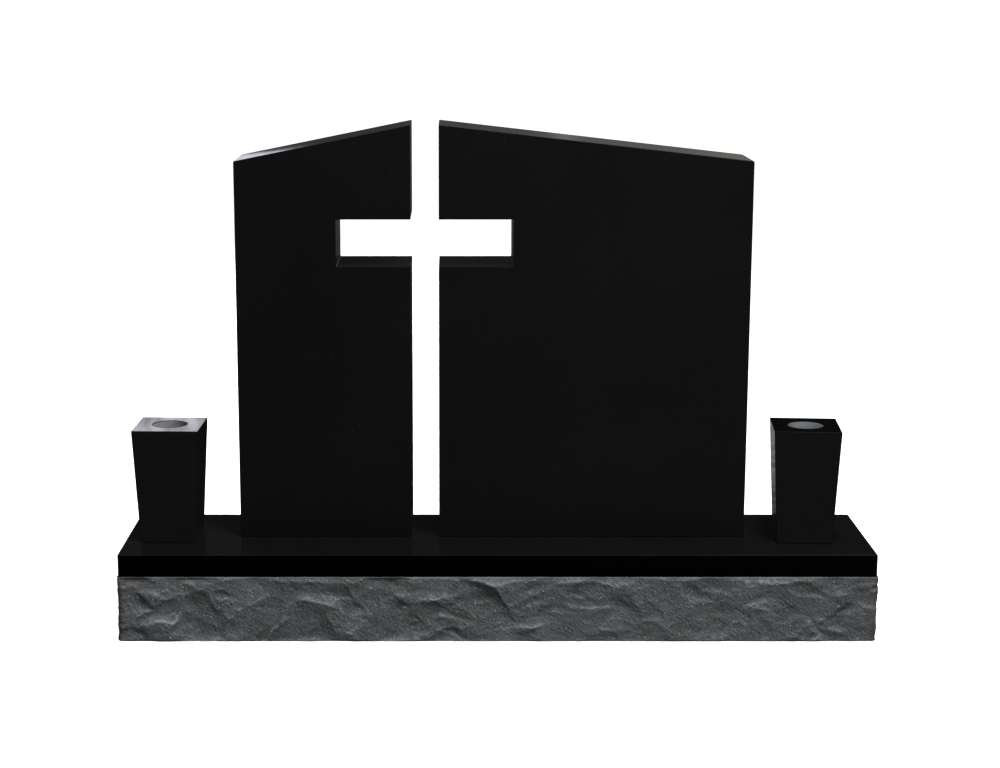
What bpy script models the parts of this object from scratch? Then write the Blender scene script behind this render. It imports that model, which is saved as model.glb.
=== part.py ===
"""Black granite headstone: two tablets whose facing edges leave a cross-shaped opening, on a rock-pitched
base with a square tapered vase at each end. Metres, X along the base, Y from front to back, Z up.
The origin is on the bed of the base, at the middle of its plan."""

import math
import random

import bmesh
import bpy
from mathutils import Matrix, Vector

# Tablets, with heights measured from the top of the base
LEFT_TABLET_WIDTH = 0.4005
RIGHT_TABLET_WIDTH = 0.714
TABLET_THICKNESS = 0.190
TABLET_SIDE_HEIGHT = 0.878
TABLET_PEAK_HEIGHT = 0.9595

# The cross between them: its upright is the gap, and each tablet is notched for one arm
CROSS_UPRIGHT_WIDTH = 0.064
CROSS_ARM_SPAN = 0.4045
CROSS_ARM_HEIGHT = 0.108
CROSS_ARM_SILL = 0.638

# Base: the ledges are the polished top that shows around the tablets
LEFT_LEDGE = 0.265
RIGHT_LEDGE = 0.2835
FRONT_LEDGE = 0.152
BACK_LEDGE = 0.014
BASE_HEIGHT = 0.204
POLISHED_MARGIN = 0.052

# Rock-pitched faces under the margin: how far they stand out, and how the corners are rounded
PITCH_LEDGE = 0.004
PITCH_KEEP = 0.35
PITCH_FOOT = 0.005
PITCH_TAPER = 0.007
FOOT_TAPER = 0.004
ROCK_SWELL = 0.0055
ROCK_CORNER_RADIUS = 0.010
PITCH_CORNER_RADIUS = 0.003
CORNER_TAPER = 0.030
CORNER_REACH = 0.070
CORNER_CALM = 0.65
CORNER_SWELL = 0.005
CORNER_CELLS = 3
ROCK_CELL_LENGTH = 0.0155
ROCK_CELL_HEIGHT = 0.0127

# Shell-shaped flakes that make those faces, in staggered rows
FLAKE_SPACING = 0.150
FLAKE_SPACING_JITTER = 0.050
FLAKE_ROW_HEIGHT = 0.052
FLAKE_ROW_START = 0.012
FLAKE_ROW_JITTER = 0.018
FLAKE_HALF_LENGTHS = (0.075, 0.135)
FLAKE_HALF_HEIGHTS = (0.044, 0.068)
FLAKE_DEEPEST = 0.005
FLAKE_LEAN = 0.7
FLAKE_ARCHES = (3.0, 9.0)
FLAKE_TILT = 0.17
FLAKE_BOWL = 0.0075
FLAKE_RIM = 0.005
FLAKE_UPPER_SLOPE = 0.5
FLAKE_LOWER_SLOPE = 1.75
FLAKE_SIDE_WANDER = 0.007
FLAKE_EDGE_WANDER = 0.0035
RELIEF_CREST = 0.006
RELIEF_CREST_ROUNDING = 0.003
FOOT_CALM = 0.25
END_CALM = 0.45
CALM_MIDDLE = 1.45
RELIEF_SEED = 83

# The wander of the flakes' edges: strength, waves along, waves up and phase of each part
RIPPLES = ((1.0, 23, 31, 1.7), (0.6, 57, -43, 0.4), (0.45, 11, 97, 2.9), (0.35, 131, 71, 5.1),
           (0.25, 83, -167, 3.3))

# Vases
VASE_TOP_WIDTH = 0.154
VASE_FOOT_WIDTH = 0.128
VASE_HEIGHT = 0.267
VASE_HOLE_DIAMETER = 0.081
VASE_HOLE_DEPTH = 0.200
VASE_HOLE_SIDES = 40
LEFT_VASE_CLEARANCE = 0.0845
RIGHT_VASE_CLEARANCE = 0.060
LEFT_VASE_SETBACK = 0.167
RIGHT_VASE_SETBACK = 0.159
LEFT_VASE_TURN = math.radians(-1.6)
RIGHT_VASE_TURN = math.radians(-4.6)

# Shared by every piece
ARRIS = 0.0015
SETTING_GAP = 0.0003
CUTTER_OVERRUN = 0.010
UNION_OVERLAP = 0.001

BASE_LENGTH = LEFT_LEDGE + LEFT_TABLET_WIDTH + CROSS_UPRIGHT_WIDTH + RIGHT_TABLET_WIDTH + RIGHT_LEDGE
BASE_DEPTH = FRONT_LEDGE + TABLET_THICKNESS + BACK_LEDGE
ROCK_HEIGHT = BASE_HEIGHT - POLISHED_MARGIN
BASE_FRONT = -BASE_DEPTH / 2
SEAT = BASE_HEIGHT + SETTING_GAP
TABLET_MIDDLE = BASE_FRONT + FRONT_LEDGE + TABLET_THICKNESS / 2
LEFT_TABLET_OUTER = -BASE_LENGTH / 2 + LEFT_LEDGE
RIGHT_TABLET_OUTER = BASE_LENGTH / 2 - RIGHT_LEDGE


def clear_scene():
    for thing in list(bpy.data.objects):
        bpy.data.objects.remove(thing, do_unlink=True)


def collection(name):
    group = bpy.data.collections.new(name)
    bpy.context.scene.collection.children.link(group)
    return group


def granite(name, colour, roughness):
    material = bpy.data.materials.new(name)
    material.use_nodes = True
    shader = material.node_tree.nodes["Principled BSDF"]
    shader.inputs["Base Color"].default_value = (*colour, 1.0)
    shader.inputs["Roughness"].default_value = roughness
    shader.inputs["Metallic"].default_value = 0.0
    return material


def add_object(name, mesh, group, *materials):
    thing = bpy.data.objects.new(name, mesh)
    group.objects.link(thing)
    for material in materials:
        mesh.materials.append(material)
    return thing


def mesh_from(bm, name):
    mesh = bpy.data.meshes.new(name)
    bm.to_mesh(mesh)
    bm.free()
    return mesh


def ease_arrises(thing):
    """Breaks every sharp edge by the same small arris."""
    bevel = thing.modifiers.new("arris", "BEVEL")
    bevel.width = ARRIS
    bevel.segments = 2
    bevel.limit_method = "ANGLE"
    bevel.angle_limit = math.radians(30)


def ripple(a, b):
    """A smooth irregular wave over two lengths, used to bend the edges of the flakes."""
    return sum(strength * math.sin(a * across + b * up + phase) for strength, across, up, phase in RIPPLES)


def struck_flakes(perimeter):
    """Staggered rows of shell-shaped flakes around the block, each with its own size, depth and slant."""
    draw = random.Random(RELIEF_SEED)
    count = round(perimeter / FLAKE_SPACING)
    rows = math.ceil((ROCK_HEIGHT - FLAKE_ROW_START) / FLAKE_ROW_HEIGHT)
    flakes = []
    for row in range(rows):
        level = FLAKE_ROW_START + row * FLAKE_ROW_HEIGHT
        for number in range(count):
            along = (number + 0.5 * (row % 2)) * perimeter / count
            flakes.append({
                "along": along + draw.uniform(-FLAKE_SPACING_JITTER, FLAKE_SPACING_JITTER),
                "height": level + draw.uniform(-FLAKE_ROW_JITTER, FLAKE_ROW_JITTER),
                "half_length": draw.uniform(*FLAKE_HALF_LENGTHS),
                "half_height": draw.uniform(*FLAKE_HALF_HEIGHTS),
                "depth": draw.uniform(0.0, FLAKE_DEEPEST),
                "lean": draw.uniform(-FLAKE_LEAN, FLAKE_LEAN),
                "arch": draw.uniform(*FLAKE_ARCHES),
                "tilt": draw.uniform(-FLAKE_TILT, FLAKE_TILT),
            })
    return flakes


def calmness(along, height, perimeter):
    """The share of the relief at each spot: the breaks flatten towards the foot and the front's right end."""
    end = 1 - END_CALM * (0.5 + 0.5 * math.cos(2 * math.pi * (along - CALM_MIDDLE) / perimeter)) ** 2
    return end * (1 - FOOT_CALM * (1 - ease(height / ROCK_HEIGHT)))


def relief(along, height, flakes, perimeter):
    """How far the broken face stands out of the margin's plane: the deepest flake at each spot wins."""
    bent_along = along + FLAKE_SIDE_WANDER * ripple(along, height)
    bent_height = height + FLAKE_EDGE_WANDER * ripple(height + 3.1, along + 1.2)
    surface = RELIEF_CREST + 2 * RELIEF_CREST_ROUNDING
    for flake in flakes:
        rise = bent_height - flake["height"]
        reach = bent_along - flake["along"] - flake["lean"] * rise
        reach = (reach + perimeter / 2) % perimeter - perimeter / 2
        arched = rise + flake["arch"] * reach ** 2
        upright = arched / flake["half_height"] * (FLAKE_UPPER_SLOPE if arched > 0 else FLAKE_LOWER_SLOPE)
        spread = (reach / flake["half_length"]) ** 2 + upright ** 2
        bowl = FLAKE_BOWL * spread + FLAKE_RIM * spread ** 2
        surface = min(surface, bowl - flake["depth"] - flake["tilt"] * rise)
    if surface > RELIEF_CREST:
        over = (surface - RELIEF_CREST) / RELIEF_CREST_ROUNDING
        surface = RELIEF_CREST + RELIEF_CREST_ROUNDING * math.tanh(over)
    return ROCK_SWELL + surface * calmness(along, height, perimeter)


def ease(share):
    share = min(max(share, 0.0), 1.0)
    return share * share * (3 - 2 * share)


def proud_of_margin(along, height, to_corner, flakes, perimeter):
    """The relief, calmer towards the corners, with a narrow ledge at the pitch line and a straight foot."""
    proud = relief(along, height, flakes, perimeter)
    proud += (CORNER_SWELL - proud) * CORNER_CALM * (1 - ease(to_corner / CORNER_REACH))
    fade = PITCH_KEEP + (1 - PITCH_KEEP) * ease((ROCK_HEIGHT - height) / PITCH_TAPER)
    proud = PITCH_LEDGE + (proud - PITCH_LEDGE) * fade
    return PITCH_FOOT + (proud - PITCH_FOOT) * ease(height / FOOT_TAPER)


def corner_radius(height):
    """Square at the pitch line, and broken rounder within a few centimetres below it."""
    tight = ease((height - ROCK_HEIGHT + CORNER_TAPER) / CORNER_TAPER)
    return ROCK_CORNER_RADIUS + (PITCH_CORNER_RADIUS - ROCK_CORNER_RADIUS) * tight


def plan_path(radius):
    """Points and outward directions around the round-cornered plan, from the front's left corner."""
    path = []
    for side in range(4):
        length, depth = (BASE_LENGTH, BASE_DEPTH) if side % 2 == 0 else (BASE_DEPTH, BASE_LENGTH)
        out = Matrix.Rotation((side - 1) * math.pi / 2, 2) @ Vector((1, 0))
        run = Vector((-out.y, out.x))
        cells = round((length - 2 * ROCK_CORNER_RADIUS) / ROCK_CELL_LENGTH)
        start = out * depth / 2 - run * (length / 2 - radius)
        for cell in range(cells):
            path.append((start + run * (length - 2 * radius) * cell / cells, out))
        centre = out * (depth / 2 - radius) + run * (length / 2 - radius)
        for cell in range(CORNER_CELLS):
            aim = Matrix.Rotation(math.pi / 2 * cell / CORNER_CELLS, 2) @ out
            path.append((centre + aim * radius, aim))
    return path


def rock_block():
    """The pitched part of the base: a grid bent around the plan and struck with flakes, then closed flat."""
    widest = plan_path(ROCK_CORNER_RADIUS)
    distances = [0.0]
    for (here, _), (following, _) in zip(widest, widest[1:] + widest[:1]):
        distances.append(distances[-1] + (following - here).length)
    perimeter = distances[-1]
    flakes = struck_flakes(perimeter)
    columns = len(widest)
    rows = round(ROCK_HEIGHT / ROCK_CELL_HEIGHT)
    paths = [plan_path(corner_radius(ROCK_HEIGHT * row / rows)) for row in range(rows + 1)]
    bm = bmesh.new()
    bmesh.ops.create_grid(bm, x_segments=columns, y_segments=rows, size=0.5)
    for vertex in bm.verts:
        column = round((vertex.co.x + 0.5) * columns) % columns
        row = round((vertex.co.y + 0.5) * rows)
        height = ROCK_HEIGHT * row / rows
        spot, outward = paths[row][column]
        to_corner = math.hypot(BASE_LENGTH / 2 - abs(spot.x), BASE_DEPTH / 2 - abs(spot.y))
        spot = spot + outward * proud_of_margin(distances[column], height, to_corner, flakes, perimeter)
        vertex.co = (spot.x, spot.y, height)
    bmesh.ops.remove_doubles(bm, verts=bm.verts, dist=0.00001)
    rims = [edge for edge in bm.edges if edge.is_boundary]
    bmesh.ops.holes_fill(bm, edges=rims, sides=0)
    bmesh.ops.recalc_face_normals(bm, faces=bm.faces)
    return mesh_from(bm, "rock_block")


def box_mesh(name, length, depth, height):
    """A box centred on X and Y, standing on Z = 0."""
    bm = bmesh.new()
    bmesh.ops.create_cube(bm, size=1.0)
    bmesh.ops.translate(bm, verts=bm.verts, vec=(0, 0, 0.5))
    bmesh.ops.scale(bm, verts=bm.verts, vec=(length, depth, height))
    return mesh_from(bm, name)


def make_base(group, cutters, polished, rock):
    """One block: the polished top and margin are joined to the pitched part below them."""
    base = add_object("base", rock_block(), group, rock)
    slab_mesh = box_mesh("polished_slab", BASE_LENGTH, BASE_DEPTH, POLISHED_MARGIN + UNION_OVERLAP)
    slab = add_object("polished_slab", slab_mesh, cutters, polished)
    slab.location.z = ROCK_HEIGHT - UNION_OVERLAP
    ease_arrises(slab)
    hide_cutter(slab)
    union = base.modifiers.new("polished_slab", "BOOLEAN")
    union.operation = "UNION"
    union.solver = "EXACT"
    union.object = slab
    union.material_mode = "TRANSFER"
    return base


def hide_cutter(thing):
    thing.hide_render = True
    thing.display_type = "WIRE"


def make_tablet(name, outer_x, width, inward, group, polished):
    """A slab cut to its outline: sloping top, and a notch for one arm of the cross in the inner edge."""
    notch = (CROSS_ARM_SPAN - CROSS_UPRIGHT_WIDTH) / 2
    sill = CROSS_ARM_SILL
    lintel = sill + CROSS_ARM_HEIGHT
    outline = [(0, SETTING_GAP), (width, SETTING_GAP), (width, sill), (width - notch, sill),
               (width - notch, lintel), (width, lintel), (width, TABLET_PEAK_HEIGHT), (0, TABLET_SIDE_HEIGHT)]
    curve = bpy.data.curves.new(name + "_outline", "CURVE")
    curve.dimensions = "2D"
    curve.fill_mode = "BOTH"
    curve.extrude = TABLET_THICKNESS / 2
    spline = curve.splines.new("POLY")
    spline.points.add(len(outline) - 1)
    for point, (across, up) in zip(spline.points, outline):
        point.co = (inward * across, up, 0, 1)
    spline.use_cyclic_u = True
    guide = bpy.data.objects.new(name + "_outline", curve)
    group.objects.link(guide)
    guide.location = (outer_x, TABLET_MIDDLE, BASE_HEIGHT)
    guide.rotation_euler.x = math.radians(90)
    bpy.context.view_layer.update()
    mesh = bpy.data.meshes.new_from_object(guide.evaluated_get(bpy.context.evaluated_depsgraph_get()))
    bm = bmesh.new()
    bm.from_mesh(mesh)
    bmesh.ops.remove_doubles(bm, verts=bm.verts, dist=0.00001)
    bmesh.ops.dissolve_limit(bm, angle_limit=math.radians(1), verts=bm.verts, edges=bm.edges)
    bmesh.ops.recalc_face_normals(bm, faces=bm.faces)
    bm.to_mesh(mesh)
    bm.free()
    tablet = add_object(name, mesh, group, polished)
    tablet.matrix_world = guide.matrix_world
    bpy.data.objects.remove(guide, do_unlink=True)
    ease_arrises(tablet)
    return tablet


def make_vase(name, spot, turn, group, cutters, polished):
    """A square block tapering to its foot, with one blind round hole drilled down from the top."""
    bm = bmesh.new()
    bmesh.ops.create_cone(bm, cap_ends=True, segments=4, radius1=VASE_FOOT_WIDTH / math.sqrt(2),
                          radius2=VASE_TOP_WIDTH / math.sqrt(2), depth=VASE_HEIGHT)
    bmesh.ops.rotate(bm, verts=bm.verts, cent=(0, 0, 0), matrix=Matrix.Rotation(math.radians(45), 3, "Z"))
    bmesh.ops.translate(bm, verts=bm.verts, vec=(0, 0, VASE_HEIGHT / 2))
    vase = add_object(name, mesh_from(bm, name), group, polished)
    vase.location = (*spot, SEAT)
    vase.rotation_euler.z = turn
    drill_mesh = bmesh.new()
    bmesh.ops.create_cone(drill_mesh, cap_ends=True, segments=VASE_HOLE_SIDES, radius1=VASE_HOLE_DIAMETER / 2,
                          radius2=VASE_HOLE_DIAMETER / 2, depth=VASE_HOLE_DEPTH + CUTTER_OVERRUN)
    drill = add_object(name + "_drill", mesh_from(drill_mesh, name + "_drill"), cutters, polished)
    drill.location = (*spot, SEAT + VASE_HEIGHT - VASE_HOLE_DEPTH / 2 + CUTTER_OVERRUN / 2)
    drill.rotation_euler.z = turn
    hide_cutter(drill)
    hole = vase.modifiers.new("hole", "BOOLEAN")
    hole.operation = "DIFFERENCE"
    hole.solver = "EXACT"
    hole.object = drill
    ease_arrises(vase)
    return vase


def build():
    clear_scene()
    headstone = collection("headstone")
    cutters = collection("cutters")
    polished = granite("polished_granite", (0.010, 0.011, 0.011), 0.08)
    rock = granite("pitched_granite", (0.075, 0.078, 0.082), 0.85)
    make_base(headstone, cutters, polished, rock)
    make_tablet("left_tablet", LEFT_TABLET_OUTER, LEFT_TABLET_WIDTH, 1, headstone, polished)
    make_tablet("right_tablet", RIGHT_TABLET_OUTER, RIGHT_TABLET_WIDTH, -1, headstone, polished)
    left_spot = (LEFT_TABLET_OUTER - LEFT_VASE_CLEARANCE - VASE_TOP_WIDTH / 2, BASE_FRONT + LEFT_VASE_SETBACK)
    right_spot = (RIGHT_TABLET_OUTER + RIGHT_VASE_CLEARANCE + VASE_TOP_WIDTH / 2,
                  BASE_FRONT + RIGHT_VASE_SETBACK)
    make_vase("left_vase", left_spot, LEFT_VASE_TURN, headstone, cutters, polished)
    make_vase("right_vase", right_spot, RIGHT_VASE_TURN, headstone, cutters, polished)


build()
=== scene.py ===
import math
import random

import bmesh
import bpy
import numpy as np
from mathutils import Matrix, Vector, noise


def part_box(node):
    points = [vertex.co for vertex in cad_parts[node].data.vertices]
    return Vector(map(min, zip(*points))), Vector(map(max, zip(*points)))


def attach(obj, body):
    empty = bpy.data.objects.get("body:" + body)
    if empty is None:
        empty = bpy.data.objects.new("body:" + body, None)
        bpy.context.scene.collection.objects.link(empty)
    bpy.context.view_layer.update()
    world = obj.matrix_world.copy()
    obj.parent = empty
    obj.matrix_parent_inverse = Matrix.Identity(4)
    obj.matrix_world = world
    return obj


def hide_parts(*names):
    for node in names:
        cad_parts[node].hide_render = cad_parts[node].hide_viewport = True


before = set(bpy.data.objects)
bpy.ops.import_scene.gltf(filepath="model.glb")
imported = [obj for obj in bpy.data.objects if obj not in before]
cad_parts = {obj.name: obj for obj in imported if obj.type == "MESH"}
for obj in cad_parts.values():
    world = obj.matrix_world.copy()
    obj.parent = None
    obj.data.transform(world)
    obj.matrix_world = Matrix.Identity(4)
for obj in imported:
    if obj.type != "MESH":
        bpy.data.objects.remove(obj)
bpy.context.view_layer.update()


# The camera stands in front of the monument, a little above its top, and looks slightly down on
# it. The small sideways shift puts the monument left of the middle, as it was framed.
LENS_MM = 71.58
SENSOR_WIDTH_MM = 36.0
SIDEWAYS_SHIFT = 0.0458
CAMERA_PLACE = (-0.0987, -4.526, 1.470)
CAMERA_LOOKS_DOWN = 0.1975

camera_lens = bpy.data.cameras.new("camera")
camera_lens.sensor_width = SENSOR_WIDTH_MM
camera_lens.lens = LENS_MM
camera_lens.shift_x = SIDEWAYS_SHIFT
camera = bpy.data.objects.new("camera", camera_lens)
bpy.context.scene.collection.objects.link(camera)
camera.location = CAMERA_PLACE
camera.rotation_euler = (math.pi / 2 - CAMERA_LOOKS_DOWN, 0.0, 0.0)
bpy.context.scene.camera = camera
bpy.context.scene.view_settings.view_transform = "Standard"


# The studio sweep is one white sheet: a flat floor whose far edges curve up all around. It glows,
# so that it stays white behind the stone, but it lights nothing and polished faces don't mirror it.
SWEEP_REACH = 13.0
SWEEP_FLAT_RADIUS = 7.5
SWEEP_CURVE = 0.22
SWEEP_CELLS = 80
SWEEP_GLOW = 1.0
PAPER_COLOUR = (0.80, 0.80, 0.80, 1.0)
GLOW_COLOUR = (1.0, 1.0, 1.0, 1.0)


def mesh_object(name, bm):
    """Turns a bmesh into an object of the scene."""
    mesh = bpy.data.meshes.new(name)
    bm.to_mesh(mesh)
    bm.free()
    thing = bpy.data.objects.new(name, mesh)
    bpy.context.scene.collection.objects.link(thing)
    return thing


def make_sweep():
    bm = bmesh.new()
    bmesh.ops.create_grid(bm, x_segments=SWEEP_CELLS, y_segments=SWEEP_CELLS, size=SWEEP_REACH)
    for vertex in bm.verts:
        past_flat = max(0.0, vertex.co.xy.length - SWEEP_FLAT_RADIUS)
        vertex.co.z = SWEEP_CURVE * past_flat ** 2
    sweep = mesh_object("sweep", bm)
    sweep.data.shade_smooth()
    sweep.visible_glossy = False
    sweep.visible_diffuse = False
    paper = bpy.data.materials.new("white_sweep")
    paper.use_nodes = True
    shader = paper.node_tree.nodes["Principled BSDF"]
    shader.inputs["Base Color"].default_value = PAPER_COLOUR
    shader.inputs["Roughness"].default_value = 1.0
    shader.inputs["Specular IOR Level"].default_value = 0.0
    shader.inputs["Emission Color"].default_value = GLOW_COLOUR
    shader.inputs["Emission Strength"].default_value = SWEEP_GLOW
    sweep.data.materials.append(paper)


make_sweep()


# Soft studio light: a wide overhead lamp that brings out the upper sides of the broken stone, one
# in front, a weak fill from the left, one behind, and a long dim one that only shows as a thin
# reflection along the front arrises towards the right.
def area_light(name, place, aim, size, watts, diffuse=True, glossy=True):
    """A lamp of a width and height, turned so that it faces the point it is aimed at."""
    lamp = bpy.data.lights.new(name, "AREA")
    lamp.shape = "RECTANGLE"
    lamp.size, lamp.size_y = size
    lamp.energy = watts
    thing = bpy.data.objects.new(name, lamp)
    bpy.context.scene.collection.objects.link(thing)
    thing.location = place
    thing.rotation_euler = (Vector(place) - Vector(aim)).to_track_quat("Z", "Y").to_euler()
    thing.visible_camera = False
    thing.visible_diffuse = diffuse
    thing.visible_glossy = glossy


area_light("overhead_lamp", (0.8, -1.45, 4.1), (0, 0, 0.1), (1.5, 0.9), 270, glossy=False)
area_light("front_lamp", (1.9, -6.3, 1.1), (0, 0, 0.4), (2.4, 1.4), 62, glossy=False)
area_light("fill_lamp", (-3.0, -5.4, 0.6), (0, 0, 0.1), (2.0, 1.0), 21, glossy=False)
area_light("back_lamp", (-2.4, 5.6, 2.2), (0, 0, 0.2), (2.4, 1.8), 300, glossy=False)
area_light("arris_lamp", (1.75, -1.35, 4.1), (0.8, -0.18, 0.2), (1.3, 0.5), 6, diffuse=False)


# The room around the sweep, seen only in the polished faces. In front it is nearly dark. Behind
# there is a paler band at the horizon, brighter in places, dim air above it and a soft ceiling
# overhead. It is a little bluer to the left and warmer to the right.

# Each stop is a height, from 0 straight down to 1 straight up, and the room's brightness there
FRONT_LEFT = [(0.355, 0.004), (0.38, 0.014), (0.44, 0.006), (0.48, 0.001)]
FRONT_RIGHT = [(0.355, 0.004), (0.38, 0.042), (0.44, 0.018), (0.48, 0.010)]
FLOOR_BEHIND = [(0, 0.003), (0.405, 0.004), (0.44, 0.045)]
DIM_HORIZON = [(0.505, 0.045), (0.54, 0.040), (0.57, 0.012), (0.61, 0.018)]
BRIGHT_HORIZON = [(0.505, 0.19), (0.54, 0.20), (0.57, 0.012), (0.61, 0.001)]
CEILING = [(0.70, 0.014), (0.86, 0.20), (1.0, 0.30)]
# Each stop is a place behind the stones, from 0 at the left to 1 at the right, and how bright it is
BRIGHT_PLACES = [(0.39, 0), (0.43, 0.2), (0.45, 0.34), (0.49, 0.33), (0.54, 0.2), (0.60, 0.27),
                 (0.625, 0.5), (0.64, 1.0), (0.66, 0.47), (0.75, 0.55), (0.80, 0.85)]
LEFT_TINT = (0.94, 0.94, 1.12)
RIGHT_TINT = (1.04, 1.03, 0.90)


class Value:
    """One socket of a material's nodes. Arithmetic on it adds the Math node that does the same."""

    def __init__(self, tree, socket=None):
        self.tree = tree
        self.socket = socket

    def node(self, kind, settings=None, inputs=None, output=0):
        """Adds a node: its settings are set first, then its sockets get their values or links."""
        made = self.tree.nodes.new(kind)
        for key, setting in (settings or {}).items():
            setattr(made, key, setting)
        for key, given in (inputs or {}).items():
            if isinstance(given, Value):
                self.tree.links.new(given.socket, made.inputs[key])
            elif isinstance(given, tuple) and len(made.inputs[key].default_value) == 4:
                made.inputs[key].default_value = (*given, 1.0)
            else:
                made.inputs[key].default_value = given
        return Value(self.tree, made.outputs[output])

    def math(self, operation, *values):
        return self.node("ShaderNodeMath", {"operation": operation}, dict(enumerate(values)))

    def mix(self, low, high):
        """A colour between two others, with this value as the share of the second."""
        return self.node("ShaderNodeMix", {"data_type": "RGBA"}, {0: self, 6: low, 7: high}, output=2)

    def tint(self, colour):
        """This colour multiplied by another."""
        return self.node("ShaderNodeMix", {"data_type": "RGBA", "blend_type": "MULTIPLY"},
                         {0: 1.0, 6: self, 7: colour}, output=2)

    def ramp(self, stops):
        """A grey that goes through the given stops, each a place from 0 to 1 and its brightness."""
        made = self.node("ShaderNodeValToRGB", None, {0: self})
        elements = made.socket.node.color_ramp.elements
        while len(elements) < len(stops):
            elements.new(0.5)
        for element, (place, grey) in zip(elements, stops):
            element.position = place
            element.color = (grey, grey, grey, 1.0)
        return made

    def span(self, low, high):
        """0 below the first number and 1 above the second, with a smooth change between them."""
        return self.node("ShaderNodeMapRange", {"interpolation_type": "SMOOTHSTEP"},
                         {"Value": self, "From Min": low, "From Max": high})

    def axes(self):
        """The three numbers of a place or a direction."""
        return [self.node("ShaderNodeSeparateXYZ", None, {0: self}, output=axis) for axis in range(3)]

    def __abs__(self):
        return self.math("ABSOLUTE", self)

    def __add__(self, other):
        return self.math("ADD", self, other)

    __radd__ = __add__

    def __sub__(self, other):
        return self.math("SUBTRACT", self, other)

    def __rsub__(self, other):
        return self.math("SUBTRACT", other, self)

    def __mul__(self, other):
        return self.math("MULTIPLY", self, other)

    __rmul__ = __mul__

    def feed(self, shader, name):
        self.tree.links.new(self.socket, shader.inputs[name])


def make_room():
    world = bpy.data.worlds.new("room")
    bpy.context.scene.world = world
    world.use_nodes = True
    x, y, z = Value(world.node_tree).node("ShaderNodeTexCoord").axes()
    height = z * 0.5 + 0.5
    across = x * 2 + 0.5
    rightward = across.span(0, 1)
    in_front = rightward.mix(height.ramp(FRONT_LEFT), height.ramp(FRONT_RIGHT))
    dim = height.ramp(FLOOR_BEHIND + DIM_HORIZON + CEILING)
    bright = height.ramp(FLOOR_BEHIND + BRIGHT_HORIZON + CEILING)
    behind = across.ramp(BRIGHT_PLACES).mix(dim, bright)
    room = y.span(-0.2, 0.2).mix(in_front, behind)
    room.tint(rightward.mix(LEFT_TINT, RIGHT_TINT)).feed(world.node_tree.nodes["Background"], "Color")


make_room()


# The tablets are two sawn slabs of near-black, fine-grained granite, polished on every face, that
# stand on the base by their own weight. Their facing edges are notched for the arms of the cross,
# and every edge is eased by hand with a rubbing stone, so it stays a little less bright.
BASE_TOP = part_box("base")[1].z
TABLET_SIDE_HEIGHT = 0.878
TABLET_PEAK_HEIGHT = 0.9595
CROSS_UPRIGHT_WIDTH = 0.064
CROSS_ARM_SPAN = 0.4045
CROSS_ARM_HEIGHT = 0.108
CROSS_ARM_SILL = 0.638
SETTING_GAP = 0.0003
ARRIS = 0.0015
ARRIS_SEGMENTS = 2
ARRIS_SLOT = 1
WELD_DISTANCE = 0.00001

STONE_IOR = 1.55
POLISH_ROUGHNESS = 0.075
POLISH_SPREAD = 0.05
CRYSTAL_SCALE = 700
CLOUD_SCALE = 3.0
FLECK_SCALE = 330
FLECK_SHARE = 0.02
FLECK_SIZE = 0.26
FLECK_CORE = 0.6
DARK_CRYSTALS = (0.0040, 0.0044, 0.0042)
PALE_CRYSTALS = (0.0084, 0.0091, 0.0087)
PALE_FLECKS = (0.045, 0.048, 0.046)


def new_material(name, roughness):
    """A material with its shader, and the place on the piece in metres."""
    material = bpy.data.materials.new(name)
    material.use_nodes = True
    shader = material.node_tree.nodes["Principled BSDF"]
    shader.inputs["Roughness"].default_value = roughness
    shader.inputs["IOR"].default_value = STONE_IOR
    place = Value(material.node_tree).node("ShaderNodeTexCoord", output=3)
    return material, shader, place


def grain(place, scale, detail, roughness=0.5):
    return place.node("ShaderNodeTexNoise", None,
                      {"Vector": place, "Scale": scale, "Detail": detail, "Roughness": roughness})


def flecks(place, scale, share, size):
    """Crystals that catch the light: a small spot in some cells of a random pattern."""
    spot = place.node("ShaderNodeTexVoronoi", None, {"Vector": place, "Scale": scale}, output=0)
    chance = place.node("ShaderNodeTexVoronoi", None, {"Vector": place, "Scale": scale}, output=1)
    red = chance.node("ShaderNodeSeparateColor", None, {0: chance})
    return (1 - spot.span(size * FLECK_CORE, size)) * red.span(1 - share, 1 - share + 0.01)


def polished_granite(name, brightness, roughness):
    """Near-black stone: fine crystals, faint clouding, and a few pale flecks."""
    material, shader, place = new_material(name, roughness)
    # Brightness scales every colour, so copies of this stone can be painted lighter or darker as painted
    # light and shade.
    dark, pale, fleck = [tuple(part * brightness for part in colour)
                         for colour in (DARK_CRYSTALS, PALE_CRYSTALS, PALE_FLECKS)]
    crystals = grain(place, CRYSTAL_SCALE, 3.0).span(0.30, 0.75)
    cloud = grain(place, CLOUD_SCALE, 3.0)
    body = (crystals * 0.75 + cloud.span(0.35, 0.8) * 0.25).mix(dark, pale)
    spots = flecks(place, FLECK_SCALE, FLECK_SHARE, FLECK_SIZE)
    spots.mix(body, fleck).feed(shader, "Base Color")
    (cloud * POLISH_SPREAD + (roughness - POLISH_SPREAD / 2)).feed(shader, "Roughness")
    return material


polish = polished_granite("polished_granite", 0.85, POLISH_ROUGHNESS)
rubbed_arris = polished_granite("rubbed_arris", 1.0, 0.20)


def ease_arrises(piece):
    """Every sharp edge is rounded by the same small arris, in the rubbed finish, and the faces stay flat."""
    arris = piece.modifiers.new("arris", "BEVEL")
    arris.width = ARRIS
    arris.segments = ARRIS_SEGMENTS
    arris.limit_method = "ANGLE"
    arris.angle_limit = math.radians(30)
    arris.material = ARRIS_SLOT
    arris.harden_normals = True
    piece.data.shade_smooth()
    bpy.context.view_layer.update()
    finished = bpy.data.meshes.new_from_object(piece.evaluated_get(bpy.context.evaluated_depsgraph_get()))
    piece.modifiers.clear()
    piece.data = finished


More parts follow.
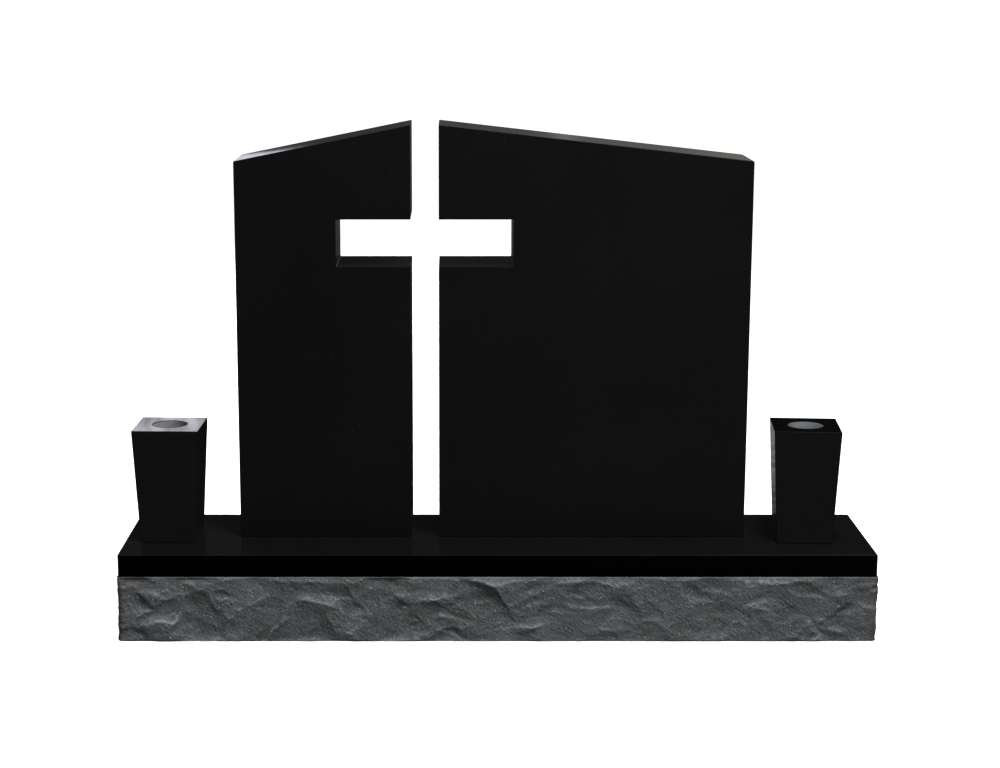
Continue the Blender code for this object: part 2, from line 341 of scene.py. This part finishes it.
def upright_slab(outline, thickness):
    """A flat outline, given across and up, made as thick to the front as to the back."""
    curve = bpy.data.curves.new("outline", "CURVE")
    curve.dimensions = "2D"
    curve.fill_mode = "BOTH"
    curve.extrude = thickness / 2
    spline = curve.splines.new("POLY")
    spline.points.add(len(outline) - 1)
    for point, (across, up) in zip(spline.points, outline):
        point.co = (across, up, 0, 1)
    spline.use_cyclic_u = True
    guide = bpy.data.objects.new("outline", curve)
    bpy.context.scene.collection.objects.link(guide)
    bpy.context.view_layer.update()
    mesh = bpy.data.meshes.new_from_object(guide.evaluated_get(bpy.context.evaluated_depsgraph_get()))
    bpy.data.objects.remove(guide, do_unlink=True)
    bm = bmesh.new()
    bm.from_mesh(mesh)
    bpy.data.meshes.remove(mesh)
    bmesh.ops.remove_doubles(bm, verts=bm.verts, dist=WELD_DISTANCE)
    bmesh.ops.dissolve_limit(bm, angle_limit=math.radians(1), verts=bm.verts, edges=bm.edges)
    bmesh.ops.rotate(bm, verts=bm.verts, cent=(0, 0, 0), matrix=Matrix.Rotation(math.pi / 2, 3, "X"))
    bmesh.ops.recalc_face_normals(bm, faces=bm.faces)
    return bm


def make_tablet(node, inward):
    """A slab cut to its outline: sloping top, and a notch for one arm of the cross in the inner edge."""
    low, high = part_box(node)
    width = high.x - low.x
    notch = width - (CROSS_ARM_SPAN - CROSS_UPRIGHT_WIDTH) / 2
    sill = CROSS_ARM_SILL
    lintel = sill + CROSS_ARM_HEIGHT
    corners = [(0, SETTING_GAP), (width, SETTING_GAP), (width, sill), (notch, sill), (notch, lintel),
               (width, lintel), (width, TABLET_PEAK_HEIGHT), (0, TABLET_SIDE_HEIGHT)]
    bm = upright_slab([(inward * across, up) for across, up in corners], high.y - low.y)
    outer_edge = low.x if inward > 0 else high.x
    bmesh.ops.translate(bm, verts=bm.verts, vec=(outer_edge, (low.y + high.y) / 2, BASE_TOP))
    tablet = mesh_object(node + "_stone", bm)
    tablet.data.materials.append(polish)
    tablet.data.materials.append(rubbed_arris)
    ease_arrises(tablet)
    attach(tablet, "root")
    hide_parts(node)


make_tablet("left_tablet", 1)
make_tablet("right_tablet", -1)


# The base is one block. Its top and margin are polished, the margin painted near-black and the top
# painted darker than the tablets as painted shade. Below the pitch line its four sides are broken back
# with a pitching tool, so they carry overlapping shell-shaped flakes whose upward-facing crests are
# paler, partly bruised by the tool and partly painted highlight. It stands on its sawn bed.
BASE_LENGTH = 1.727
BASE_DEPTH = 0.356
POLISHED_MARGIN = 0.052
ROCK_HEIGHT = BASE_TOP - POLISHED_MARGIN

# How far the broken faces stand out of the margin's plane at the pitch line, at the foot and
# between them, how fast they come in towards both, and how the block's corners are rounded
PITCH_LEDGE = 0.004
PITCH_KEEP = 0.35
PITCH_TAPER = 0.0035
PITCH_SPREAD = 0.32
PITCH_FOOT = 0.005
FOOT_TAPER = 0.004
ROCK_SWELL = 0.0055
ROCK_CORNER_RADIUS = 0.010
PITCH_CORNER_RADIUS = 0.003
CORNER_TAPER = 0.030
CORNER_REACH = 0.070
CORNER_CALM = 0.65
CORNER_SWELL = 0.005
CORNER_CELLS = 6
ROCK_CELL = 0.0028

# Shell-shaped flakes in staggered rows, each a bowl with a gentle upper side and a steep lower lip
FLAKE_SPACING = 0.150
FLAKE_SPACING_JITTER = 0.050
FLAKE_ROW_HEIGHT = 0.052
FLAKE_ROW_START = 0.012
FLAKE_ROW_JITTER = 0.018
FLAKE_HALF_LENGTHS = (0.075, 0.135)
FLAKE_HALF_HEIGHTS = (0.044, 0.068)
FLAKE_DEEPEST = 0.005
FLAKE_LEAN = 0.7
FLAKE_ARCHES = (3.0, 9.0)
FLAKE_TILT = 0.17
FLAKE_BOWL = 0.0075
FLAKE_RIM = 0.005
FLAKE_UPPER_SLOPE = 0.5
FLAKE_LOWER_SLOPE = 1.75
RELIEF_CREST = 0.006
RELIEF_CREST_ROUNDING = 0.003
RELIEF_SEED = 83

# How much calmer the relief is all over, towards the foot and around the front's right end
RELIEF_SHARE = 0.88
FOOT_CALM = 0.25
END_CALM = 0.52
CALM_MIDDLE = 1.45

# The wander of the flakes' edges: strength, waves along, waves up and phase of each part
RIPPLES = ((1.0, 23, 31, 1.7), (0.6, 57, -43, 0.4), (0.45, 11, 97, 2.9), (0.35, 131, 71, 5.1),
           (0.25, 83, -167, 3.3))
FLAKE_SIDE_WANDER = 0.007
FLAKE_EDGE_WANDER = 0.0035
FLAKE_EDGE_SHIFTS = (3.1, 1.2)
FINE_SIDE_WANDER = 0.0012
FINE_SIDE_WAVES = 4.1
FINE_SIDE_SHIFT = 7
FINE_EDGE_WANDER = 0.0008
FINE_EDGE_WAVES = 4.3
FINE_EDGE_SHIFT = 1.1


def ease(share):
    """A smooth way from 0 to 1."""
    share = np.clip(share, 0.0, 1.0)
    return share * share * (3 - 2 * share)


def ripple(first, second):
    """A smooth irregular wave over two lengths, used to bend the edges of the flakes."""
    return sum(strength * np.sin(first * waves_along + second * waves_up + phase)
               for strength, waves_along, waves_up, phase in RIPPLES)


def struck_flakes(perimeter):
    """Staggered rows of shell-shaped flakes around the block, each with its own size, depth and slant."""
    draw = random.Random(RELIEF_SEED)
    count = round(perimeter / FLAKE_SPACING)
    rows = math.ceil((ROCK_HEIGHT - FLAKE_ROW_START) / FLAKE_ROW_HEIGHT)
    flakes = []
    for row in range(rows):
        level = FLAKE_ROW_START + row * FLAKE_ROW_HEIGHT
        for number in range(count):
            along = (number + 0.5 * (row % 2)) * perimeter / count
            flakes.append({
                "along": along + draw.uniform(-FLAKE_SPACING_JITTER, FLAKE_SPACING_JITTER),
                "height": level + draw.uniform(-FLAKE_ROW_JITTER, FLAKE_ROW_JITTER),
                "half_length": draw.uniform(*FLAKE_HALF_LENGTHS),
                "half_height": draw.uniform(*FLAKE_HALF_HEIGHTS),
                "depth": draw.uniform(0.0, FLAKE_DEEPEST),
                "lean": draw.uniform(-FLAKE_LEAN, FLAKE_LEAN),
                "arch": draw.uniform(*FLAKE_ARCHES),
                "tilt": draw.uniform(-FLAKE_TILT, FLAKE_TILT),
            })
    return flakes


def calmness(along, height, perimeter):
    """The share of the relief at each spot: calmer towards the foot and the front's right end."""
    end = 1 - END_CALM * (0.5 + 0.5 * np.cos(2 * math.pi * (along - CALM_MIDDLE) / perimeter)) ** 2
    return RELIEF_SHARE * end * (1 - FOOT_CALM * (1 - ease(height / ROCK_HEIGHT)))


def relief(along, height, perimeter):
    """How far the broken face stands out of the margin's plane: the deepest flake at each spot wins."""
    bent_along = along + FLAKE_SIDE_WANDER * ripple(along, height)
    bent_along = bent_along + FINE_SIDE_WANDER * ripple(along * FINE_SIDE_WAVES + FINE_SIDE_SHIFT,
                                                        height * FINE_SIDE_WAVES)
    bent_height = height + FLAKE_EDGE_WANDER * ripple(height + FLAKE_EDGE_SHIFTS[0],
                                                      along + FLAKE_EDGE_SHIFTS[1])
    bent_height = bent_height + FINE_EDGE_WANDER * ripple(height * FINE_EDGE_WAVES + FINE_EDGE_SHIFT,
                                                          along * FINE_EDGE_WAVES)
    surface = np.full(along.shape, RELIEF_CREST + 2 * RELIEF_CREST_ROUNDING)
    for flake in struck_flakes(perimeter):
        rise = bent_height - flake["height"]
        reach = bent_along - flake["along"] - flake["lean"] * rise
        reach = (reach + perimeter / 2) % perimeter - perimeter / 2
        arched = rise + flake["arch"] * reach ** 2
        upright = arched / flake["half_height"] * np.where(arched > 0, FLAKE_UPPER_SLOPE, FLAKE_LOWER_SLOPE)
        spread = (reach / flake["half_length"]) ** 2 + upright ** 2
        bowl = FLAKE_BOWL * spread + FLAKE_RIM * spread ** 2
        surface = np.minimum(surface, bowl - flake["depth"] - flake["tilt"] * rise)
    over = (surface - RELIEF_CREST) / RELIEF_CREST_ROUNDING
    rounded = RELIEF_CREST + RELIEF_CREST_ROUNDING * np.tanh(over)
    surface = np.where(surface > RELIEF_CREST, rounded, surface)
    return ROCK_SWELL + surface * calmness(along, height, perimeter)


# Smaller breaks over the flakes, and the wander of their edges: strength and waves of each part
SPALLS = {"count": 420, "half_lengths": (0.026, 0.058), "half_heights": (0.012, 0.027), "depth": 0.0036,
          "arches": (5, 14), "wander": 1.0, "seed": 9}
CHIPS = {"count": 3500, "half_lengths": (0.006, 0.016), "half_heights": (0.004, 0.010), "depth": 0.0009,
         "arches": (0, 20), "wander": 0.6, "seed": 10}
BREAK_SIDE_WANDER = ((0.003, 3), (0.001, 9))
BREAK_EDGE_WANDER = ((0.0012, 3), (0.0005, 9))
BREAK_LEAN = 1.2
BREAK_SHALLOWNESS = 1.5
BREAK_UPPER_SLOPE = 0.6
BREAK_LOWER_SLOPE = 1.6
BREAK_REACH = 2.6
BREAK_RISE = 3.2


def small_breaks(along, height, perimeter, kind):
    """Secondary breaks over the flakes, with the same steep lower lip, up to a few millimetres deep."""
    draw = random.Random(kind["seed"])
    surface = np.zeros(along.shape)
    side_bend = sum(size * ripple(height * waves, along * waves) for size, waves in BREAK_SIDE_WANDER)
    edge_bend = sum(size * ripple(along * waves, height * waves) for size, waves in BREAK_EDGE_WANDER)
    bent_along = along + kind["wander"] * side_bend
    bent_height = height + kind["wander"] * edge_bend
    for _ in range(kind["count"]):
        centre = draw.uniform(0, perimeter)
        level = draw.uniform(0, ROCK_HEIGHT)
        half_length = draw.uniform(*kind["half_lengths"])
        half_height = draw.uniform(*kind["half_heights"])
        depth = kind["depth"] * draw.random() ** BREAK_SHALLOWNESS
        lean = draw.uniform(-BREAK_LEAN, BREAK_LEAN)
        arch = draw.uniform(*kind["arches"])
        reach = (bent_along - centre + perimeter / 2) % perimeter - perimeter / 2
        near = np.abs(reach) < half_length * BREAK_REACH
        near &= np.abs(bent_height - level) < half_height * BREAK_RISE
        rise = bent_height[near] - level
        across = reach[near] - lean * rise
        arched = rise + arch * across ** 2
        upright = arched / half_height * np.where(arched > 0, BREAK_UPPER_SLOPE, BREAK_LOWER_SLOPE)
        spread = (across / half_length) ** 2 + upright ** 2
        surface[near] = np.minimum(surface[near], depth * (spread - 1))
    return surface


# The granular roughness of the break, drawn out along a slant, as strength and waves in a metre
ROUGH_STRENGTH = 0.00055
ROUGH_WAVES = 100
ROUGH_SLANT = 0.7
ROUGH_STRETCH = 1.8
ROUGH_FALLOFF = 0.5
ROUGH_FINER = 2.0
ROUGH_OCTAVES = 3


def rough_break(along, level):
    """The roughness of the break around one ring, from 0 up and down."""
    first = (along * math.cos(ROUGH_SLANT) - level * math.sin(ROUGH_SLANT)) * ROUGH_WAVES
    second = (along * math.sin(ROUGH_SLANT) + level * math.cos(ROUGH_SLANT)) * ROUGH_WAVES * ROUGH_STRETCH
    return np.array([noise.fractal(Vector((*spot, 0)), ROUGH_FALLOFF, ROUGH_FINER, ROUGH_OCTAVES)
                     for spot in zip(first, second)])


# What is painted pale, partly as the tool's bruise and partly as painted highlight from above: spots
# that stand this far above those around them, on slopes that look up
CREST_STEPS = (1, 2, 4)
CREST_HEIGHT = 0.00035
CREST_SLOPE_START = 0.02
CREST_SLOPE_SPAN = 0.2
PITCH_LINE_BRUISE_AND_HIGHLIGHT = 0.65


def bruised_and_lit_crests(proud):
    """1 on the crests whose upper side is painted pale, partly as the tool's bruise and partly as painted
    highlight, less along the pitch line, and 0 elsewhere.
    """
    padded = np.pad(proud, ((CREST_STEPS[-1], CREST_STEPS[-1]), (0, 0)), mode="edge")
    around = np.zeros(proud.shape)
    for step in CREST_STEPS:
        for shift in (-step, step):
            around += np.roll(proud, shift, axis=1)
            around += padded[CREST_STEPS[-1] + shift:][:len(proud)]
    crest = np.clip((proud - around / (4 * len(CREST_STEPS))) / CREST_HEIGHT, 0, 1)
    upward = -np.gradient(proud, ROCK_CELL, axis=0)
    crest *= ease((upward - CREST_SLOPE_START) / CREST_SLOPE_SPAN)
    # A pale line all along the pitch line, partly bruise and partly painted highlight
    crest[-1] = np.maximum(crest[-1], PITCH_LINE_BRUISE_AND_HIGHLIGHT)
    return crest


def plan_path(radius):
    """Points and outward directions around the round-cornered plan, from the front's left corner."""
    points, outward = [], []
    for side in range(4):
        length, depth = (BASE_LENGTH, BASE_DEPTH) if side % 2 == 0 else (BASE_DEPTH, BASE_LENGTH)
        turn = (side - 1) * math.pi / 2
        out = np.array((math.cos(turn), math.sin(turn)))
        run = np.array((-out[1], out[0]))
        cells = round((length - 2 * ROCK_CORNER_RADIUS) / ROCK_CELL)
        start = out * depth / 2 - run * (length / 2 - radius)
        for cell in range(cells):
            points.append(start + run * (length - 2 * radius) * cell / cells)
            outward.append(out)
        centre = out * (depth / 2 - radius) + run * (length / 2 - radius)
        for cell in range(CORNER_CELLS):
            angle = turn + math.pi / 2 * cell / CORNER_CELLS
            aim = np.array((math.cos(angle), math.sin(angle)))
            points.append(centre + aim * radius)
            outward.append(aim)
    return np.array(points), np.array(outward)


def broken_faces(path, levels):
    """How far each point of the pitched sides stands out of the margin's plane, in rows from the bed up."""
    steps = np.linalg.norm(np.roll(path, -1, axis=0) - path, axis=1)
    perimeter = steps.sum()
    ring_along = np.concatenate([[0], np.cumsum(steps)[:-1]])
    along, heights = np.meshgrid(ring_along, levels)
    proud = relief(along, heights, perimeter)
    to_corner = np.hypot(BASE_LENGTH / 2 - np.abs(path[:, 0]), BASE_DEPTH / 2 - np.abs(path[:, 1]))
    proud += (CORNER_SWELL - proud) * CORNER_CALM * (1 - ease(to_corner / CORNER_REACH))
    below_pitch = ROCK_HEIGHT - heights
    proud = np.minimum(proud, PITCH_LEDGE + PITCH_SPREAD * below_pitch)
    upper_fade = PITCH_KEEP + (1 - PITCH_KEEP) * ease(below_pitch / PITCH_TAPER)
    proud = PITCH_LEDGE + (proud - PITCH_LEDGE) * upper_fade
    proud = PITCH_FOOT + (proud - PITCH_FOOT) * ease(heights / FOOT_TAPER)
    proud += small_breaks(along, heights, perimeter, SPALLS) * upper_fade
    proud += small_breaks(along, heights, perimeter, CHIPS)
    for row, level in zip(proud, levels):
        row += ROUGH_STRENGTH * rough_break(ring_along, level)
    return proud


def rock_rings():
    """The rings of points of the broken sides, from the bed to the pitch line, and how pale each is painted,
    for bruise and painted highlight.
    """
    levels = np.linspace(0, ROCK_HEIGHT, round(ROCK_HEIGHT / ROCK_CELL) + 1)
    proud = broken_faces(plan_path(ROCK_CORNER_RADIUS)[0], levels)
    low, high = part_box("base")
    rings = []
    for row, level in zip(proud, levels):
        tight = ease((level - ROCK_HEIGHT + CORNER_TAPER) / CORNER_TAPER)
        radius = ROCK_CORNER_RADIUS + (PITCH_CORNER_RADIUS - ROCK_CORNER_RADIUS) * tight
        path, outward = plan_path(radius)
        ring = np.clip(path + outward * row[:, None], (low.x, low.y), (high.x, high.y))
        rings.append(np.column_stack([ring, np.full(len(ring), level)]))
    return rings, bruised_and_lit_crests(proud)


TOP_ARRIS_STEPS = 3


def slab_rings():
    """The rings of the polished part, from the pitch line over the rounded arris to the top."""
    path, outward = plan_path(ARRIS)
    profile = [(0.0, ROCK_HEIGHT), (0.0, BASE_TOP - ARRIS)]
    for step in range(1, TOP_ARRIS_STEPS + 1):
        angle = math.pi / 2 * step / TOP_ARRIS_STEPS
        profile.append((ARRIS * (1 - math.cos(angle)), BASE_TOP - ARRIS + ARRIS * math.sin(angle)))
    return [np.column_stack([path - outward * inset, np.full(len(path), level)]) for inset, level in profile]


MARGIN_FINISH, ROCK_FINISH, ARRIS_FINISH, TOP_FINISH, BED_FINISH = range(5)


def granite_block():
    """One closed mesh: rock and slab rings joined row by row, with a flat bed and a flat top."""
    rock, bruise_and_highlight_rows = rock_rings()
    slab = slab_rings()
    finishes = [ROCK_FINISH] * len(rock) + [MARGIN_FINISH] + [ARRIS_FINISH] * (len(slab) - 2)
    bm = bmesh.new()
    bruise_and_highlight_layer = bm.verts.layers.float.new("bruise_and_highlight")
    rings = [[bm.verts.new(point) for point in ring] for ring in rock + slab]
    for ring, row in zip(rings, bruise_and_highlight_rows):
        for vertex, bruise_and_highlight in zip(ring, row):
            vertex[bruise_and_highlight_layer] = bruise_and_highlight
    for lower, upper, finish in zip(rings, rings[1:], finishes):
        for number in range(len(lower)):
            following = (number + 1) % len(lower)
            face = bm.faces.new((lower[number], lower[following], upper[following], upper[number]))
            face.material_index = finish
            face.smooth = finish in (ROCK_FINISH, ARRIS_FINISH)
    bm.faces.new(rings[0][::-1]).material_index = BED_FINISH
    bm.faces.new(rings[-1]).material_index = TOP_FINISH
    for edge in bm.edges:
        if all(abs(vertex.co.z - ROCK_HEIGHT) < WELD_DISTANCE for vertex in edge.verts):
            edge.smooth = False
    bmesh.ops.remove_doubles(bm, verts=bm.verts, dist=WELD_DISTANCE)
    return bm


BREAK_DARK = (0.046, 0.049, 0.047)
BREAK_PALE = (0.192, 0.200, 0.211)
# The pale of the crests that face up: partly bruised stone, partly painted highlight
BRUISE_AND_HIGHLIGHT_PALE = (0.30, 0.306, 0.318)
BREAK_FLECKS = (0.55, 0.56, 0.57)
BREAK_CRYSTAL_SCALE = 430
BREAK_PATCH_SCALE = 11
BREAK_FLECK_SCALE = 260
BREAK_FLECK_SHARE = 0.05
BREAK_FLECK_SIZE = 0.34
BREAK_GRAIN_SCALE = 150
BREAK_GRAIN_SLANT = (0, 0.65, 0)
BREAK_GRAIN_STRETCH = (1.7, 1.0, 0.6)
BREAK_GRAIN_DEPTH = 0.0042
SAWN_DARK = (0.075, 0.078, 0.080)
SAWN_PALE = (0.140, 0.144, 0.148)
SAWN_CRYSTAL_SCALE = 500
SAW_MARK_SCALE = 30
SAW_MARK_DEPTH = 0.0004


def bump(height, shader, strength, distance):
    settings = {"Height": height, "Strength": strength, "Distance": distance}
    height.node("ShaderNodeBump", None, settings).feed(shader, "Normal")


def pitched_granite():
    """Broken stone: grey because the crystals scatter light, paler on upward-facing crests, partly bruised
    and partly painted highlight, with bright flecks.
    """
    material, shader, place = new_material("pitched_granite", 0.8)
    fine = grain(place, BREAK_CRYSTAL_SCALE, 4.0, 0.65)
    patch = grain(place, BREAK_PATCH_SCALE, 3.0, 0.6)
    bruise_and_highlight = place.node("ShaderNodeAttribute", {"attribute_name": "bruise_and_highlight"}, output=2)
    shade = fine.span(0.28, 0.72) * 0.75 + patch.span(0.3, 0.7) * 0.25
    body = shade.mix(BREAK_DARK, BREAK_PALE)
    # Paler where the crests face up: partly the tool's bruise, partly painted highlight where the light
    # falls
    crushed_and_lit = bruise_and_highlight * (0.25 + 0.75 * patch.span(0.42, 0.62)) * fine.span(0.2, 0.6)
    body = crushed_and_lit.mix(body, BRUISE_AND_HIGHLIGHT_PALE)
    spots = flecks(place, BREAK_FLECK_SCALE, BREAK_FLECK_SHARE, BREAK_FLECK_SIZE)
    spots.mix(body, BREAK_FLECKS).feed(shader, "Base Color")
    slanted = place.node("ShaderNodeMapping", {"vector_type": "TEXTURE"},
                         {"Vector": place, "Rotation": BREAK_GRAIN_SLANT, "Scale": BREAK_GRAIN_STRETCH})
    bump(grain(slanted, BREAK_GRAIN_SCALE, 6.0, 0.72), shader, 1.0, BREAK_GRAIN_DEPTH)
    return material


def sawn_granite():
    """The bed as the saw leaves it, with faint parallel marks."""
    material, shader, place = new_material("sawn_granite", 0.7)
    marks = place.node("ShaderNodeTexWave", {"bands_direction": "X"},
                       {"Vector": place, "Scale": SAW_MARK_SCALE, "Distortion": 2.0, "Detail": 2.0},
                       output=1)
    crystals = grain(place, SAWN_CRYSTAL_SCALE, 3.0).span(0.25, 0.75)
    (crystals * 0.8 + marks * 0.2).mix(SAWN_DARK, SAWN_PALE).feed(shader, "Base Color")
    bump(marks, shader, 0.4, SAW_MARK_DEPTH)
    return material


base = mesh_object("granite_base", granite_block())
# The margin and the top take copies of the polished granite with their colours scaled: the margin is painted
# near-black and the top is painted darker than the tablets, both painted shade.
base.data.materials.append(polished_granite("margin_painted_near_black", 0.05, 0.06))
base.data.materials.append(pitched_granite())
base.data.materials.append(rubbed_arris)
base.data.materials.append(polished_granite("base_top_painted_darker", 0.75, POLISH_ROUGHNESS))
base.data.materials.append(sawn_granite())
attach(base, "root")
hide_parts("base")


# The vases are solid granite blocks tapering to the foot, polished outside, the sides painted lighter
# as painted light and the top painted darker as painted shade, each with one hole bored down from its
# top for a flower insert. The bore is left as the drill leaves it.
VASE_TOP_WIDTH = 0.154
VASE_FOOT_WIDTH = 0.128
VASE_HOLE_DIAMETER = 0.081
VASE_HOLE_DEPTH = 0.200
VASE_HOLE_SIDES = 96
VASE_TURNS = {"left_vase": math.radians(-1.6), "right_vase": math.radians(-4.6)}
BORE_DARK = (0.16, 0.172, 0.184)
BORE_PALE = (0.29, 0.307, 0.323)
BORE_RING_DEPTH = 0.0005
BORE_CRYSTAL_SCALE = 500
BORE_RING_SCALE = 160
VASE_SIDE_SLOT = 0
VASE_BORE_SLOT = 2
VASE_TOP_SLOT = 3


def bored_granite():
    """The wall of the hole: ground grey by the core drill, with fine level rings."""
    material, shader, place = new_material("bored_granite", 0.75)
    crystals = grain(place, BORE_CRYSTAL_SCALE, 3.0, 0.6)
    crystals.span(0.2, 0.8).mix(BORE_DARK, BORE_PALE).feed(shader, "Base Color")
    rings = place.node("ShaderNodeTexWave", {"bands_direction": "Z"},
                       {"Vector": place, "Scale": BORE_RING_SCALE, "Distortion": 1.5, "Detail": 1.0},
                       output=1)
    bump(rings, shader, 0.5, BORE_RING_DEPTH)
    return material


# The vases' copies of the polished granite: the sides are painted lighter as painted light and the top
# darker as painted shade.
vase_finishes = {
    VASE_SIDE_SLOT: polished_granite("vase_sides_painted_lighter", 1.4, POLISH_ROUGHNESS),
    ARRIS_SLOT: rubbed_arris,
    VASE_BORE_SLOT: bored_granite(),
    VASE_TOP_SLOT: polished_granite("vase_top_painted_darker", 0.30, POLISH_ROUGHNESS),
}


def tapered_block(name, sides, foot_radius, top_radius, height, turn, middle):
    bm = bmesh.new()
    bmesh.ops.create_cone(bm, cap_ends=True, segments=sides, radius1=foot_radius, radius2=top_radius,
                          depth=height)
    bmesh.ops.rotate(bm, verts=bm.verts, cent=(0, 0, 0), matrix=Matrix.Rotation(turn, 3, "Z"))
    bmesh.ops.translate(bm, verts=bm.verts, vec=middle)
    block = mesh_object(name, bm)
    for finish in vase_finishes.values():
        block.data.materials.append(finish)
    return block


def make_vase(node, turn):
    """A block of four sides whose top is cut by a round drill, with each finish where it belongs."""
    low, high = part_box(node)
    middle_x, middle_y = (low.x + high.x) / 2, (low.y + high.y) / 2
    vase = tapered_block(node + "_stone", 4, VASE_FOOT_WIDTH / math.sqrt(2), VASE_TOP_WIDTH / math.sqrt(2),
                         high.z - low.z, math.pi / 4 + turn, (middle_x, middle_y, (low.z + high.z) / 2))
    drill = tapered_block(node + "_drill", VASE_HOLE_SIDES, VASE_HOLE_DIAMETER / 2, VASE_HOLE_DIAMETER / 2,
                          VASE_HOLE_DEPTH * 2, 0, (middle_x, middle_y, high.z))
    for face in drill.data.polygons:
        face.material_index = VASE_BORE_SLOT
    for face in vase.data.polygons:
        if face.normal.z > 0.9:
            face.material_index = VASE_TOP_SLOT
    hole = vase.modifiers.new("hole", "BOOLEAN")
    hole.operation = "DIFFERENCE"
    hole.object = drill
    ease_arrises(vase)
    bpy.data.objects.remove(drill, do_unlink=True)
    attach(vase, "root")
    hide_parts(node)


for vase_node, vase_turn in VASE_TURNS.items():
    make_vase(vase_node, vase_turn)


# Three soft-edged cards stand or lie behind the monument. The camera doesn't see them, and they
# light nothing: they only show as pale, slightly cloudy reflections on the left vase's top, on
# the left end of the left tablet's top, and on the right vase's left side.
UPRIGHT = math.pi / 2
TABLET_CARD_TILT = math.radians(-17.26)


def glow_card(name, place, turn, size, colour, strength, softness, cloudiness, cloud_scale):
    """A glowing plane of a width and height, with the shares of each that fade out towards its ends."""
    width, height = size
    bm = bmesh.new()
    bmesh.ops.create_grid(bm, x_segments=1, y_segments=1, size=0.5)
    bmesh.ops.scale(bm, verts=bm.verts, vec=(width, height, 1))
    card = mesh_object(name, bm)
    material, shader, spot = new_material(name, 1.0)
    shader.inputs["Base Color"].default_value = (0, 0, 0, 1)
    shader.inputs["Specular IOR Level"].default_value = 0.0
    shader.inputs["Emission Strength"].default_value = strength
    sideways, upward, _ = spot.axes()
    from_end = 0.5 - abs(sideways) * (1 / width)
    from_edge = 0.5 - abs(upward) * (1 / height)
    fade = from_end.span(0, softness[0]) * from_edge.span(0, softness[1])
    cloud = grain(spot, cloud_scale, 4.0, 0.6).span(0.35, 0.65) * cloudiness + (1 - cloudiness)
    (fade * cloud).mix((0, 0, 0), colour).feed(shader, "Emission Color")
    card.data.materials.append(material)
    card.location = place
    card.rotation_euler = turn
    card.visible_camera = False
    card.visible_diffuse = False
    card.visible_shadow = False


glow_card("vase_top_card", (-0.852, 0.62, 0.611), (UPRIGHT, 0, 0), (0.30, 0.10), (0.96, 0.95, 1.04),
          strength=1.7, softness=(0.12, 0.12), cloudiness=0.6, cloud_scale=25)
glow_card("tablet_top_card", (-0.629, 0.35, 1.117), (UPRIGHT, TABLET_CARD_TILT, 0), (0.42, 0.06),
          (0.96, 0.94, 1.06), strength=1.0, softness=(0.25, 0.05), cloudiness=0.2, cloud_scale=30)
glow_card("vase_side_card", (0.75, 2.0, 0.01), (0, 0, 0), (1.2, 3.2), (0.93, 0.97, 1.08),
          strength=0.36, softness=(0.5, 0.5), cloudiness=0.6, cloud_scale=14)
